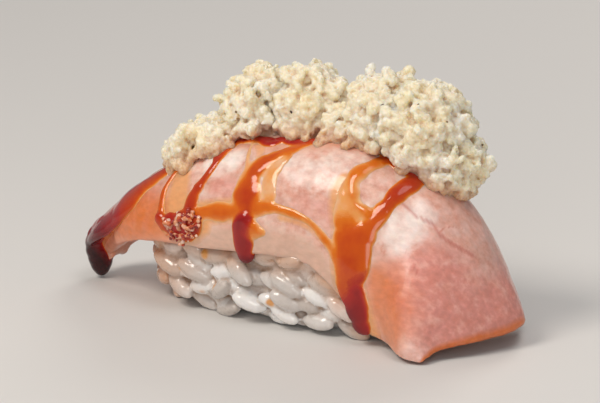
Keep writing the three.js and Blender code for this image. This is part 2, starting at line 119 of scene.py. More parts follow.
# Glaze. A run is a list of (station, place across, half width); across goes from -1 at the front edge
# to 1 at the back edge, and beyond them straight down, one whole thickness for each 1.
# With each run goes how high its glaze stands, and the extra depth of colour where it has pooled, which
# it has in full where it is thicker than thin_edge.
# unevenness: share of a run's width that comes and goes along it; swelling: how far apart it does so;
# cap: share of a bead that shows; droop: from the place across droop_start on, beads turn down, by
# droop_most within droop_length; last_facing: place across past which they face as the skin does there;
# beads_near: how many beads decide the extra depth of a place
GLAZE = dict(
    step=0.35, voxel=0.22, smoothing=3, unevenness=0.3, swelling=2.6, cap=0.45, thin_edge=0.3,
    droop_start=0.9, droop_length=0.3, droop_most=0.85, last_facing=0.98, beads_near=8,
)
GLAZE_RUNS = [
    # front: down the tail to its tip
    (0.34, 0.45, [(0.31, -0.2, 1), (0.263, -0.42, 1.6), (0.212, -0.56, 2.3), (0.165, -0.7, 2.9),
        (0.13, -0.76, 3.1), (0.1, -0.76, 3.3), (0.06, -0.66, 3.2), (0.02, -0.5, 2.8)]),
    (0.3, 0.8, [(0.29, -0.32, 0.4), (0.24, -0.38, 0.6), (0.2, -0.45, 0.7), (0.165, -0.5, 0.5)]),
    (0.3, 0.8, [(0.15, -0.9, 0.5), (0.11, -1, 1.3), (0.065, -1, 2), (0.02, -0.95, 2)]),
    (0.3, 0.8, [(0.09, 0.1, 1.6), (0.06, 0.3, 2), (0.02, 0.4, 2)]),
    # front: lines into the soaked crumbs
    (0.36, 0.35, [(0.325, -0.2, 0.6), (0.3, -0.45, 0.6), (0.285, -0.7, 0.7), (0.29, -0.95, 0.9),
        (0.305, -1.3, 0.9)]),
    (0.42, 0.6, [(0.405, -0.15, 0.7), (0.396, -0.35, 0.7), (0.38, -0.6, 0.8), (0.362, -0.8, 1.2),
        (0.358, -1, 1.3)]),
    # front: along the upper edge of the cut side
    (0.3, 0.15, [(0.34, -1.02, 1.3), (0.4, -0.95, 1.5), (0.44, -0.95, 1.6), (0.48, -0.94, 1.7)]),
    (0.3, 1, [(0.318, -1.2, 1.3), (0.338, -1.35, 2), (0.362, -1.35, 2.1), (0.38, -1.15, 1.4)]),
    (0.3, 0.15, [(0.5, -0.92, 1.5), (0.53, -0.9, 1.1), (0.57, -0.91, 0.8), (0.62, -0.93, 0.7),
        (0.66, -0.96, 0.7), (0.715, -0.98, 0.9)]),
    # front: broad run beside the middle of the heap, widening to a sheet, ending in a drop on the cut side
    (0.26, 0.42, [(0.58, 0, 0.8), (0.56, -0.18, 0.9), (0.535, -0.34, 0.9), (0.506, -0.46, 1.3),
        (0.48, -0.58, 1.8), (0.472, -0.7, 2.3), (0.476, -0.82, 2.7), (0.48, -0.95, 2.2)]),
    (0.15, -0.1, [(0.535, -0.42, 0.7), (0.52, -0.53, 1.4), (0.518, -0.66, 1.6), (0.525, -0.8, 1.6)]),
    (0.4, 1.3, [(0.48, -0.96, 1.3), (0.481, -1.15, 1.7), (0.481, -1.4, 1.9), (0.482, -1.7, 1.8),
        (0.484, -1.95, 1.2)]),
    (0.3, 0, [(0.492, -1.25, 1.3), (0.506, -1.31, 1.2), (0.524, -1.33, 0.6)]),
    (0.2, 0, [(0.435, -0.1, 0.5), (0.447, -0.35, 0.4), (0.46, -0.56, 0.5), (0.466, -0.7, 0.7)]),
    # front: the loop under the right end of the heap
    (0.36, 0, [(0.715, 0.1, 1), (0.706, -0.18, 1.3), (0.69, -0.36, 1.5), (0.688, -0.48, 1.3),
        (0.706, -0.56, 0.9), (0.738, -0.52, 1)]),
    (0.42, 0.5, [(0.785, 0.1, 1.3), (0.78, -0.12, 1.6), (0.772, -0.28, 1.7), (0.765, -0.42, 1.5)]),
    (0.3, 0.25, [(0.765, -0.4, 1.6), (0.753, -0.53, 1.8), (0.74, -0.63, 2), (0.725, -0.73, 2.8),
        (0.728, -0.84, 2.6)]),
    (0.15, -0.1, [(0.684, -0.5, 1.3), (0.69, -0.6, 2.2), (0.7, -0.68, 2.5)]),
    (0.22, 0.3, [(0.697, -0.72, 1.3), (0.706, -0.8, 2), (0.718, -0.88, 2.2), (0.732, -0.95, 1.9)]),
    (0.3, 1.5, [(0.74, -0.87, 1.6), (0.745, -0.9, 2.2), (0.751, -0.935, 2.3), (0.757, -0.975, 1.7)]),
    # front: dark seams where the glaze has pooled under the crumbs
    (0.42, 1.2, [(0.387, -0.5, 0.7), (0.38, -0.38, 0.9), (0.382, -0.25, 1), (0.39, -0.12, 1)]),
    (0.42, 1.3, [(0.385, -0.14, 0.9), (0.43, -0.17, 1.2), (0.46, -0.2, 1.3), (0.485, -0.25, 1.2),
        (0.5, -0.17, 1.2), (0.527, -0.21, 1.2), (0.557, -0.17, 1.1), (0.585, -0.12, 0.9),
        (0.61, 0, 0.8)]),
    (0.42, 0.9, [(0.667, -0.02, 0.6), (0.708, -0.08, 0.8), (0.74, -0.11, 0.9), (0.768, -0.08, 1),
        (0.79, 0.03, 0.8), (0.815, 0.1, 0.6)]),
    # back
    (0.4, 0.2, [(0.22, 0.3, 0.9), (0.2, 0.6, 1.4), (0.19, 0.9, 1.6), (0.2, 1.3, 1.4)]),
    (0.36, 0.1, [(0.36, 0.3, 0.9), (0.38, 0.62, 1.2), (0.35, 0.9, 1.8), (0.35, 1.2, 1.5), (0.35, 1.75, 1.5)]),
    (0.36, 0.1, [(0.5, 0.3, 1), (0.52, 0.55, 1.3), (0.55, 0.76, 1.9), (0.55, 0.98, 2), (0.55, 1.4, 1.6)]),
    (0.3, 0, [(0.68, 0.3, 1), (0.66, 0.55, 1.3), (0.62, 0.75, 1), (0.58, 0.82, 1)]),
    (0.38, 0.1, [(0.72, 0.3, 1), (0.75, 0.6, 1.5), (0.73, 0.85, 1.9), (0.74, 1.05, 1.8),
        (0.745, 1.7, 1.9)]),
    (0.4, 1.2, [(0.355, 0.34, 0.5), (0.39, 0.31, 0.7), (0.43, 0.3, 0.7), (0.47, 0.24, 0.5)]),
    (0.4, 1.2, [(0.55, 0.3, 0.6), (0.6, 0.34, 0.7), (0.66, 0.3, 0.7), (0.72, 0.34, 0.6), (0.78, 0.3, 0.5)]),
    (0.8, 1.2, [(0.198, 1.1, 1), (0.2, 1.5, 1.6)]),
    (0.8, 1.2, [(0.35, 1.4, 1), (0.35, 1.85, 1.5)]),
    (0.8, 1.2, [(0.55, 1.1, 1), (0.55, 1.5, 1.7)]),
    (0.9, 1.3, [(0.742, 1.3, 1.3), (0.745, 1.75, 2)]),
]
# The drop that hangs from the tail's tip, as (middle, reach), and the depth of its colour: drop is its own
# extra, and extra what the glaze gains from pale_above down to dark_below, before X = tail_before.
TAIL_DROP = [
    ((-39.7, -1.8, 7.4), (1.7, 3.6, 2.2)), ((-39.8, -1.85, 6.4), (2, 3.7, 2.4)),
    ((-39.8, -1.9, 5.2), (2.1, 3.4, 2.6)), ((-39.7, -2, 4), (1.9, 2.9, 2.7)),
    ((-39.6, -2.05, 3), (1.7, 2.4, 2.5)), ((-39.5, -2.1, 2.2), (1.4, 1.8, 2)),
]
TAIL_DEPTH = dict(tail_before=-35, drop=0.6, extra=2, pale_above=9, dark_below=2.5)

# Thin films of glaze on the flesh, which only colour it: strength, then station, place across, reach.
FILMS = [
    (0.85, [(0.235, -0.35, 2.4), (0.18, -0.6, 3), (0.12, -0.7, 3.2), (0.05, -0.6, 3)]),
    (0.8, [(0.31, -0.45, 1.6), (0.318, -0.65, 2.2), (0.33, -0.9, 2.6)]),
    (0.8, [(0.325, -1.2, 2.2), (0.36, -1.3, 2.6), (0.39, -1.2, 1.8)]),
    (0.95, [(0.33, -0.97, 1.8), (0.4, -0.95, 1.9), (0.47, -0.93, 1.9)]),
    (0.5, [(0.445, -0.2, 0.9), (0.47, -0.35, 0.9), (0.48, -0.5, 0.8)]),
    (0.7, [(0.56, -0.95, 0.9), (0.63, -0.96, 0.9), (0.7, -0.97, 1)]),
    (0.95, [(0.672, -0.5, 1.4), (0.682, -0.62, 2.3), (0.705, -0.7, 2.6), (0.735, -0.68, 2)]),
    (0.95, [(0.7, -0.85, 1.8), (0.73, -0.92, 2.6), (0.76, -1, 3)]),
    (0.8, [(0.22, 0.5, 1.6), (0.2, 0.9, 2.2)]),
    (0.7, [(0.37, 0.5, 1.6), (0.36, 0.9, 1.8), (0.45, 0.96, 1.6)]),
    (0.8, [(0.53, 0.6, 2), (0.56, 0.9, 1.8)]),
    (0.7, [(0.66, 0.6, 1.8), (0.74, 0.8, 2.4)]),
]
# Soft tints in the flesh: strength, then station, place across, reach.
STAINS = [  # orange, soaked in from the glaze
    (0.85, [(0.79, -0.74, 2.2), (0.81, -0.78, 3.6), (0.83, -0.84, 4.6), (0.86, -0.92, 4)]),
    (0.8, [(0.76, -0.95, 2.5), (0.79, -1, 2.5)]),
    (0.5, [(0.83, -0.7, 3.6), (0.865, -0.76, 4.6), (0.89, -0.82, 4)]),
    (1, [(0.08, -0.95, 5), (0.2, -1, 5.5), (0.3, -1, 4.5)]),
    (0.4, [(0.8, 0.8, 3.5), (0.88, 0.9, 3)]),
    (0.5, [(0.4, -0.2, 2.2), (0.45, -0.24, 2.4), (0.53, -0.26, 2.4), (0.6, -0.12, 2.2), (0.66, -0.08, 1.8)]),
]
BLUSHES = [  # deeper pink
    (0.85, [(0.9, -0.62, 6), (0.93, -0.42, 8), (0.98, -0.4, 8), (0.98, 0.2, 8)]),
    (0.3, [(0.86, -0.3, 7), (0.9, 0.1, 7), (0.94, 0.4, 7)]),
    (0.6, [(0.41, -0.74, 1.8), (0.44, -0.76, 1.8)]),
    (0.45, [(0.6, -0.85, 2.6), (0.67, -0.8, 2.4)]),
    (0.9, [(0.24, -0.9, 4), (0.16, -0.95, 4), (0.1, -1, 4)]),
    (0.5, [(0.86, 0.5, 5), (0.95, 0.6, 5)]),
]
PALE_FLESH_AND_SHEEN = [  # whitish: paler flesh in places, and painted highlight and sheen on the flap and at the broad end's corner
    (0.9, [(0.38, -0.5, 2.2), (0.42, -0.45, 2.6)]),
    (0.55, [(0.56, -0.5, 3), (0.6, -0.58, 3.4), (0.645, -0.45, 3), (0.66, -0.3, 2.4)]),
    (0.9, [(0.79, -0.45, 1.6), (0.815, -0.52, 2.6), (0.825, -0.3, 2.6)]),
    (0.45, [(0.985, -0.93, 1.4), (0.965, -0.9, 1.8), (0.93, -0.88, 1.4)]),
    (0.6, [(0.24, -0.22, 1.3), (0.2, -0.12, 1.3), (0.14, 0, 1.3)]),
    (0.6, [(0.45, 0.5, 3), (0.62, 0.45, 3.4)]),
]
# The cut sides, and the thin edges of broad end and tail that glaze has run into: (start, length) of how
# they set in, with depth (0 on the slice's upper face, 1 on its lower one) and with station.
CUT_SIDE = dict(depth=(0.12, 0.2), from_tail=(0.28, 0.08), to_broad_end=(0.8, -0.06))
RIM = dict(
    end_depth=(0.25, 0.35), end_from=(0.8, 0.06), very_end=(0.988, 0.008),
    tail_depth=(0.6, 0.3), tail_to=(0.3, -0.08), tail_strength=0.6,
)
# Dark pink lines between muscles: half width, then the places that the line goes through.
MUSCLE_LINES = [
    (0.28, [(0.785, -0.34), (0.802, -0.33), (0.82, -0.33), (0.838, -0.3)]),
    (0.36, [(0.838, -0.3), (0.855, -0.27), (0.87, -0.27), (0.888, -0.24), (0.905, -0.19), (0.92, -0.13)]),
    (0.16, [(0.868, -0.27), (0.873, -0.18), (0.885, -0.1)]),
    (0.14, [(0.84, -0.52), (0.862, -0.5), (0.88, -0.53), (0.9, -0.5)]),
    (0.2, [(0.55, 0.55), (0.62, 0.5), (0.68, 0.55), (0.75, 0.5)]),
]

# Crumbs that the glaze has soaked and stuck to the slice: station, place across, radius.
SOAKED = [
    (0.318, -1.15, 1.3), (0.328, -1.45, 1.4), (0.347, -1.62, 1.5), (0.368, -1.45, 1.6), (0.35, -1.15, 1.6),
    (0.38, -1.12, 1.3), (0.364, -0.97, 1.2), (0.345, -0.99, 0.9), (0.46, 0.95, 1.4), (0.475, 1.15, 1.3),
]
SOAKED_CRUMB = dict(bubbles=46, radius=(0.22, 0.2), voxel=0.16)

# Crumb heap: overlapping mounds (middle, reach) in three bunches.
BUNCHES = {
    "crumbs_tail_side": [
        ((-20.2, -4, 24.8), (3.6, 4.8, 4)),
        ((-15.6, -2, 27), (4.6, 6, 4.2)),
        ((-9.3, 1.8, 31.9), (6, 6.8, 7.4)),
    ],
    "crumbs_middle": [
        ((-1, 3, 33), (6.8, 6.9, 7.2)),
        ((7, 3, 30), (5, 6.9, 5.6)),
        ((14, 2.2, 34.1), (5.8, 7.2, 7.4)),
    ],
    "crumbs_broad_side": [
        ((21.5, 2.4, 32.5), (6.6, 7.8, 8)),
        ((27, 3, 27.3), (4.5, 6, 5)),
    ],
}
# Crumbs laid over the seams between bunches: x, y, z of the middle, and radius.
SEAM_CRUMBS = {
    "crumbs_broad_side": [(18.4, -4.3, 36.2, 1.4), (18.1, -4.3, 34.5, 1.6), (17.9, -4.6, 32.9, 1.3)],
}
# spacing: share of the larger radius from crumb to crumb; inset: depth of a crumb's middle below the
# mound's skin; base: depth there of the solid filling; outside: how far out in every mound a crumb lies, as
# a share of its reach; soaked_near: distances from the slice within which all is soaked, and none past
CRUMB = dict(
    smallest=0.9, largest=2.4, tries=9000, spacing=0.8, voxel=0.2, inset=1.5, base=1.9, outside=0.96,
    soaked_near=(0.2, 4.5),
)
# Lobes round a crumb's core, in shares of its radius, the bubbles on each lobe, and drips of batter.
# A pair is the least and the random spread, but for counts, which are the fewest and the most.
LOBE = dict(core=0.66, count=(4, 7), outward=0.35, place=(0.45, 0.25), radius=(0.3, 0.2))
BUBBLE = dict(count=4, smallest=0.36, spread=0.3)
DRIP = dict(chance=0.3, outward=1.2, start=0.8, count=(1, 4), step=0.45, radius=(0.45, 0.15), wandering=0.7)
SWELLS = [(0.7, 3.6), (0.4, 1.8)]  # height and size of the heap's unevenness
BLISTERS = [(0.8, 1.8), (0.4, 0.9)]  # height and spacing of the bubbles on a crumb
BUBBLE_TOP, BUBBLE_FALL = 0.6, 1.4  # shares of that height over a middle, and lost one spacing from it
PORES = [(0.5, 0.38, 1.4), (0.35, 0.34, 0.9)]  # depth, width in spacings, and spacing of its open pores
# Dark flecks on the heap, partly toasted batter and partly painted shadow of small holes: count, radius and
# shape.
FLECKS = dict(count=26, radius=(0.15, 0.15), shape=(1, 1.4, 0.6))

# --- small helpers


def smooth_rule(knots):
    """A smooth curve through the (at, value) knots, level beyond both ends."""
    last = len(knots) - 1
    slopes = []
    for i in range(last + 1):
        before = knots[max(i - 1, 0)]
        after = knots[min(i + 1, last)]
        slopes.append((after[1] - before[1]) / (after[0] - before[0]))

    def value(at):
        x = min(max(at, knots[0][0]), knots[last][0])
        i = 0
        while i < last - 1 and x > knots[i + 1][0]:
            i += 1
        span = knots[i + 1][0] - knots[i][0]
        t = (x - knots[i][0]) / span
        bend = t * t * (3 - 2 * t)
        start = t * (1 - t) * (1 - t) * span * slopes[i]
        end = t * t * (t - 1) * span * slopes[i + 1]
        return knots[i][1] * (1 - bend) + knots[i + 1][1] * bend + start + end

    return value


def smoothstep(low, high, value):
    t = min(max((value - low) / (high - low), 0), 1)
    return t * t * (3 - 2 * t)


def ramp(values, start, length):
    """0 at start and 1 a length further on, or further back where the length is negative."""
    return np.clip((values - start) / length, 0, 1)


def varied(rng, least, spread):
    """A random value: least, and up to spread more."""
    return least + spread * rng.random()


def random_direction(rng):
    return Vector((rng.gauss(0, 1), rng.gauss(0, 1), rng.gauss(0, 1))).normalized()


def placing(middle, reach, outward=Vector((0, 0, 1)), turn=0.0):
    """Matrix that puts a unit shape at middle, stretched to reach, its Z turned to outward."""
    facing = outward.to_track_quat("Z", "Y").to_matrix().to_4x4()
    return Matrix.Translation(middle) @ facing @ Matrix.Rotation(turn, 4, "Z") @ Matrix.Diagonal((*reach, 1))


def read(items, name, width, kind=np.float32):
    """The values that the items have under this name, one row for each item."""
    found = np.empty(len(items) * width, kind)
    items.foreach_get(name, found)
    return found.reshape(-1, width)


def mesh_of(bm, name):
    mesh = bpy.data.meshes.new(name)
    bm.to_mesh(mesh)
    bm.free()
    return mesh


def put_in_scene(name, data):
    made = bpy.data.objects.new(name, data)
    bpy.context.scene.collection.objects.link(made)
    return made


def pattern_of(bm):
    """A shape of triangles, to be copied: its corners, and which of them each triangle has."""
    mesh = mesh_of(bm, "pattern")
    return read(mesh.vertices, "co", 3), np.array([tuple(face.vertices) for face in mesh.polygons])


def ball(subdivisions):
    bm = bmesh.new()
    bmesh.ops.create_icosphere(bm, subdivisions=subdivisions, radius=1)
    return pattern_of(bm)


def joined(name, pattern, placings):
    """One mesh of a pattern's copies, each with its own placing."""
    points, triangles = pattern
    matrices = np.array([[list(row) for row in matrix] for matrix in placings])
    spread = np.einsum("nij,pj->npi", matrices[:, :3, :3], points) + matrices[:, None, :3, 3]
    starts = np.arange(len(placings))[:, None, None] * len(points)
    mesh = bpy.data.meshes.new(name)
    mesh.from_pydata(spread.reshape(-1, 3), [], (triangles[None] + starts).reshape(-1, 3))
    return mesh


def lookup_of(points):
    """The points, ready to be looked up by nearness."""
    lookup = kdtree.KDTree(len(points))
    for i, point in enumerate(points):
        lookup.insert(point, i)
    lookup.balance()
    return lookup


def fused(mesh, voxel, smoothing):
    """Overlapping closed shapes grown together into one skin."""
    helper = put_in_scene("helper", mesh)
    remesh = helper.modifiers.new("fuse", "REMESH")
    remesh.mode = "VOXEL"
    remesh.voxel_size = voxel
    whole = bpy.data.meshes.new_from_object(helper.evaluated_get(bpy.context.evaluated_depsgraph_get()))
    bpy.data.objects.remove(helper)
    bm = bmesh.new()
    bm.from_mesh(whole)
    for _ in range(smoothing):
        bmesh.ops.smooth_vert(
            bm, verts=bm.verts, factor=0.5, use_axis_x=True, use_axis_y=True, use_axis_z=True,
        )
    return bm


def stand_on_table(bm):
    """Cuts off what reaches below the table and closes the cut."""
    everything = bm.verts[:] + bm.edges[:] + bm.faces[:]
    bmesh.ops.bisect_plane(
        bm, geom=everything, plane_co=(0, 0, CUT_HEIGHT), plane_no=(0, 0, -1), clear_outer=True,
    )
    bmesh.ops.holes_fill(bm, edges=[edge for edge in bm.edges if edge.is_boundary])


def roughen(bm, layers):
    """Moves the skin in and out by layers of noise, each a (height, size of its bumps)."""
    bm.normal_update()
    moves = [
        sum(height * noise.noise(vert.co / size) for height, size in layers) * vert.normal
        for vert in bm.verts
    ]
    for vert, move in zip(bm.verts, moves):
        vert.co += move


def blister(bm, layers):
    """Covers the skin with round bubbles side by side, in layers, each a (height, size of a bubble)."""
    bm.normal_update()
    for height, size in layers:
        for vert in bm.verts:
            nearest = noise.voronoi(vert.co / size)[0][0]
            vert.co += height * (BUBBLE_TOP - BUBBLE_FALL * nearest ** 2) * vert.normal


def pierce(bm, layers):
    """Sinks small round pores into the skin, in layers, each a (depth, width in spacings, spacing)."""
    bm.normal_update()
    for depth, width, spacing in layers:
        for vert in bm.verts:
            nearest = noise.voronoi(vert.co / spacing + Vector((9, 9, 9)))[0][0]
            vert.co -= depth * smoothstep(width, 0, nearest) * vert.normal


def hollows(mesh, rounds):
    """How far each corner lies below the smoothed skin round it, in millimetres: positive in a hollow."""
    points = read(mesh.vertices, "co", 3).astype(np.float64)
    a, b = read(mesh.edges, "vertices", 2, np.int64).T
    count = np.bincount(np.concatenate([a, b]), minlength=len(points))
    smooth = points.copy()
    for _ in range(rounds):
        total = [
            np.bincount(a, smooth[b, k], len(points)) + np.bincount(b, smooth[a, k], len(points))
            for k in range(3)
        ]
        smooth = np.stack(total, 1) / np.maximum(count, 1)[:, None]
    return ((smooth - points) * read(mesh.vertices, "normal", 3)).sum(1)


def nearness(mesh, flesh_tree, close, far):
    """For each corner, 1 where the flesh is as near as close, and 0 where it is as far as far."""
    return [1 - smoothstep(close, far, flesh_tree.find_nearest(vert.co)[3]) for vert in mesh.vertices]


def store(mesh, name, values):
    mesh.attributes.new(name, "FLOAT", "POINT").data.foreach_set("value", np.asarray(values, np.float32))


def finish_piece(mesh, name, material, nodes):
    """Makes the mesh a piece of the part: in the part's frame and in metres."""
    mesh.transform(Matrix.Scale(MM, 4) @ Matrix.Translation(TO_PART))
    mesh.polygons.foreach_set("use_smooth", np.ones(len(mesh.polygons), bool))
    mesh.update()
    piece = put_in_scene(name, mesh)
    piece.data.materials.append(material)
    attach(piece, "root")
    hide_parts(nodes)


# --- shape of the slice

crest_x = smooth_rule(CREST_X)
crest_z = smooth_rule(CREST_Z)
half = {-1: smooth_rule(HALF_FRONT), 1: smooth_rule(HALF_BACK)}
reach = {-1: smooth_rule(REACH_FRONT), 1: smooth_rule(REACH_BACK)}
drape = {-1: smooth_rule(DRAPE_FRONT), 1: smooth_rule(DRAPE_BACK)}
fall = smooth_rule(FALL)
thickness = smooth_rule(THICKNESS)
edge_thinning = smooth_rule(EDGE_THINNING)


def upper_point(station, across):
    side = -1 if across < 0 else 1
    angle = math.pi / 2 * abs(across) * reach[side](station)
    power = 2 / drape[side](station)
    y = side * half[side](station) * math.sin(angle) ** power
    x = crest_x(station) - fall(station) * (math.hypot(y, FALL_ROUNDING) - FALL_ROUNDING)
    return Vector((x, y, crest_z(station) * math.cos(angle) ** power))


def outward_at(station, across):
    """Square to the section at this station and to the crest line there."""
    step = 0.002
    along = upper_point(min(station + step, 1), 0) - upper_point(max(station - step, 0), 0)
    over = upper_point(station, min(across + step, 1)) - upper_point(station, max(across - step, -1))
    return along.cross(over).normalized()


def under_point(station, across):
    edge = upper_point(station, -1 if across < 0 else 1).z
    upright = smoothstep(SLICE["lying_below"], SLICE["upright_above"], edge) * abs(across) ** 3
    inward = outward_at(station, across) * (1 - upright) + Vector((0, 0, upright))
    gain = 1 + SLICE["upright_gain"] * upright
    depth = thickness(station) * gain * (1 - edge_thinning(station) * across ** 2)
    point = upper_point(station, across) - inward.normalized() * depth
    point.z = max(point.z, SLICE["lowest_inside"])
    return point


def slice_point(station, across):
    """A point of the slice's skin, or of what hangs straight down from its edge beyond -1 or 1."""
    edge = min(max(across, -1), 1)
    return upper_point(station, edge) - Vector((0, 0, thickness(station) * abs(across - edge)))


def path_on_slice(knots, step):
    """Places every step millimetres along a run of (station, across, ...) knots: point and knots' values."""
    rules = [smooth_rule([(i, knot[k]) for i, knot in enumerate(knots)]) for k in range(len(knots[0]))]
    last = len(knots) - 1
    fine = 40 * last
    places = [slice_point(rules[0](last * i / fine), rules[1](last * i / fine)) for i in range(fine + 1)]
    length = sum((b - a).length for a, b in zip(places, places[1:]))
    count = max(2, round(length / step))
    found = []
    for i in range(count + 1):
        values = [rule(last * i / count) for rule in rules]
        found.append((slice_point(values[0], values[1]), values))
    return found


def even_stations(count):
    """Stations the same distance apart along the crest line, as a function of the share of the way."""
    fine = 600
    lengths = [0.0]
    for i in range(1, fine + 1):
        lengths.append(lengths[-1] + (upper_point(i / fine, 0) - upper_point((i - 1) / fine, 0)).length)
    return np.interp(np.linspace(0, lengths[-1], count), lengths, np.linspace(0, 1, fine + 1))


def ring_point(station, angle, thin):
    """A point of the slice's skin round the section at this station, with its place across and its depth."""
    wide = math.cos(angle) / SLICE["slab_aspect"]
    tall = math.sin(angle)
    power = SLICE["squareness"]
    size = (abs(wide) ** power + abs(tall) ** power) ** (1 / power)
    across = wide / size * (1 - SLICE["corner_rounding"] * (1 - thin))
    depth = (1 - thin * tall / size) / 2
    return upper_point(station, across).lerp(under_point(station, across), depth), across, depth


def slice_mesh():
    """A grid wrapped round the slice: one way round its section, the other way along it."""
    bm = bmesh.new()
    around, along = SLICE["around"], SLICE["stations"]
    bmesh.ops.create_grid(bm, x_segments=around, y_segments=along, size=1)
    layers = [bm.verts.layers.float.new(name) for name in ("station", "depth")]
    stations = even_stations(along + 1)
    for vert in bm.verts:
        station = float(stations[round((vert.co.y + 1) / 2 * along)])
        from_end = min(station, 1 - station) / SLICE["end_rounding"]
        thin = math.sqrt(1 - (1 - min(from_end, 1)) ** 2)
        point, across, depth = ring_point(station, math.pi * (vert.co.x + 1), thin)
        wave = sum(height * math.sin(turns * across + start) for height, turns, start in END_WAVES)
        wave *= smoothstep(END_WAVES_FROM, 1, station)
        point.x += wave
        point.z += max(0, wave)
        vert.co = point
        for layer, value in zip(layers, (station, depth)):
            vert[layer] = value
    bmesh.ops.remove_doubles(bm, verts=bm.verts, dist=0.002)
    bmesh.ops.recalc_face_normals(bm, faces=bm.faces)
    roughen(bm, SLICE_UNEVENNESS)
    for vert in bm.verts:
        vert.co.z = max(vert.co.z, SLICE["lowest"])
    return mesh_of(bm, "tuna_flesh")


def closeness(points, patches):
    """For each point, its share of the strongest patch: full to half the reach, none past 1.5 reaches."""
    found = np.zeros(len(points))
    for strength, knots in patches:
        for place, values in path_on_slice(knots, 1.0):
            distance = np.linalg.norm(points - np.array(place), axis=1)
            found = np.maximum(found, strength * np.clip(1.5 - distance / values[2], 0, 1))
    return found


def line_closeness(points, lines):
    """For each point, 1 within 0.6 half widths of a line's middle, and 0 past 1.6 half widths."""
    found = np.zeros(len(points))
    for half_width, knots in lines:
        for place, _ in path_on_slice(knots, 0.25):
            distance = np.linalg.norm(points - np.array(place), axis=1)
            found = np.maximum(found, np.clip(1.6 - distance / half_width, 0, 1))
    return found


# --- materials


def linear(colour):
    """A '#rrggbb' sRGB colour as linear red, green, blue and alpha."""
    channels = [int(colour[i:i + 2], 16) / 255 for i in (1, 3, 5)]
    return (*[c / 12.92 if c <= 0.04045 else ((c + 0.055) / 1.055) ** 2.4 for c in channels], 1)


def connect(tree, node, inputs):
    """Sets a node's inputs, each to a value or from another node's output."""
    for name, value in inputs.items():
        if isinstance(value, bpy.types.NodeSocket):
            tree.links.new(value, node.inputs[name])
        else:
            node.inputs[name].default_value = value


def add(tree, kind, inputs=(), stops=(), out=0, **settings):
    """Adds a node with its settings, inputs and colour stops, and gives the output named by out."""
    made = tree.nodes.new("ShaderNode" + kind)
    for name, value in settings.items():
        setattr(made, name, value)
    connect(tree, made, dict(inputs))
    for i, (position, colour) in enumerate(stops):
        elements = made.color_ramp.elements
        stop = elements[i] if i < 2 else elements.new(position)
        stop.position = position
        stop.color = linear(colour)
    return made.outputs[out]


def uneven(tree, value, pattern, spread):
    """The value, moved up and down by as much as spread where the pattern goes from 0 to 1."""
    move = add(tree, "Math", {0: pattern, 1: 2 * spread, 2: -spread}, operation="MULTIPLY_ADD")
    return add(tree, "Math", {0: value, 1: move}, operation="ADD")


def tinted(tree, colour, shade, value, low, high, most):
    """The colour, turning to the shade as the value goes from low to high, there by a share of most."""
    share = add(tree, "MapRange", {"Value": value, "From Min": low, "From Max": high, "To Max": most})
    return add(tree, "Mix", {0: share, 6: colour, 7: shade}, out=2, data_type="RGBA")


def new_material(name):
    """An empty material, and its tree, its shader and its Object coordinates."""
    material = bpy.data.materials.new(name)
    material.use_nodes = True
    tree = material.node_tree
    tree.nodes.clear()
    shader = tree.nodes.new("ShaderNodeBsdfPrincipled")
    surface = tree.nodes.new("ShaderNodeOutputMaterial")
    tree.links.new(shader.outputs[0], surface.inputs["Surface"])
    return material, tree, shader, add(tree, "TexCoord", out="Object")


def tuna_material():
    """Raw tuna, its skin seared by a flame: satin and moist, light passes a little way into it."""
    material, tree, shader, place = new_material("seared_raw_tuna")
    drawn_out = add(tree, "Mapping", {"Vector": place, "Rotation": (0, 0.5, 0.5), "Scale": (0.5, 1, 1)})
    mottle, fibres, marbling = [
        add(tree, "TexNoise", {"Vector": way, "Scale": 1 / (size * MM), "Detail": detail, "Roughness": rough})
        for way, size, detail, rough in (
            (place, 2.2, 5, 0.6), (drawn_out, 0.8, 3, 0.5), (drawn_out, 1.6, 4, 0.55),
        )
    ]
    marbled_pink, colour = [
        add(tree, "ValToRGB", {"Fac": pattern}, stops)
        for pattern, stops in (
            (marbling, [(0.35, "#ce685e"), (0.5, "#d8756b"), (0.68, "#e39c90")]),
            (mottle, [(0.3, "#d1917d"), (0.5, "#e0b2a1"), (0.68, "#e9cbbd")]),
        )
    ]
    # Of these patches, pale is partly painted highlight and sheen; the others are colours of the flesh and of
    # the glaze.
    for name, shade, spread, low, high in (
        ("blush", marbled_pink, 0.5, 0.1, 1.3), ("pale", linear("#f5e9e2"), 0.4, 0.2, 1.1),
        ("cut_side", linear("#d6b09b"), 0.3, 0.2, 0.9), ("stain", linear("#d8742c"), 0.45, 0.15, 1.1),
        ("muscle_line", linear("#bf6355"), 0.2, 0.25, 1.5), ("film", linear("#e4a36c"), 0.2, 0.2, 0.65),
        ("rim", linear("#d9702c"), 0.35, 0.3, 1.0),
    ):
        # The mottle breaks up each patch's edge.
        patch = uneven(tree, add(tree, "Attribute", out="Fac", attribute_name=name), mottle, spread)
        colour = tinted(tree, colour, shade, patch, low, high, 0.92)
    streaks = add(
        tree, "MapRange",
        {"Value": fibres, "From Min": 0.35, "From Max": 0.7, "To Min": 0.92, "To Max": 1.05},
    )
    film = add(tree, "Attribute", out="Fac", attribute_name="film")
    connect(tree, shader, {
        "Base Color": add(tree, "VectorMath", {0: colour, 1: streaks}, operation="MULTIPLY"),
        "Roughness": add(tree, "MapRange", {"Value": film, "From Max": 0.6, "To Min": 0.36, "To Max": 0.14}),
        "Normal": add(tree, "Bump", {"Height": fibres, "Strength": 0.35, "Distance": 0.12 * MM}),
        "Subsurface Weight": 0.35, "Subsurface Radius": (1.0, 0.45, 0.3), "Subsurface Scale": 1.4 * MM,
        "IOR": 1.4, "Coat Weight": 0.35, "Coat Roughness": 0.18,
    })
    return material


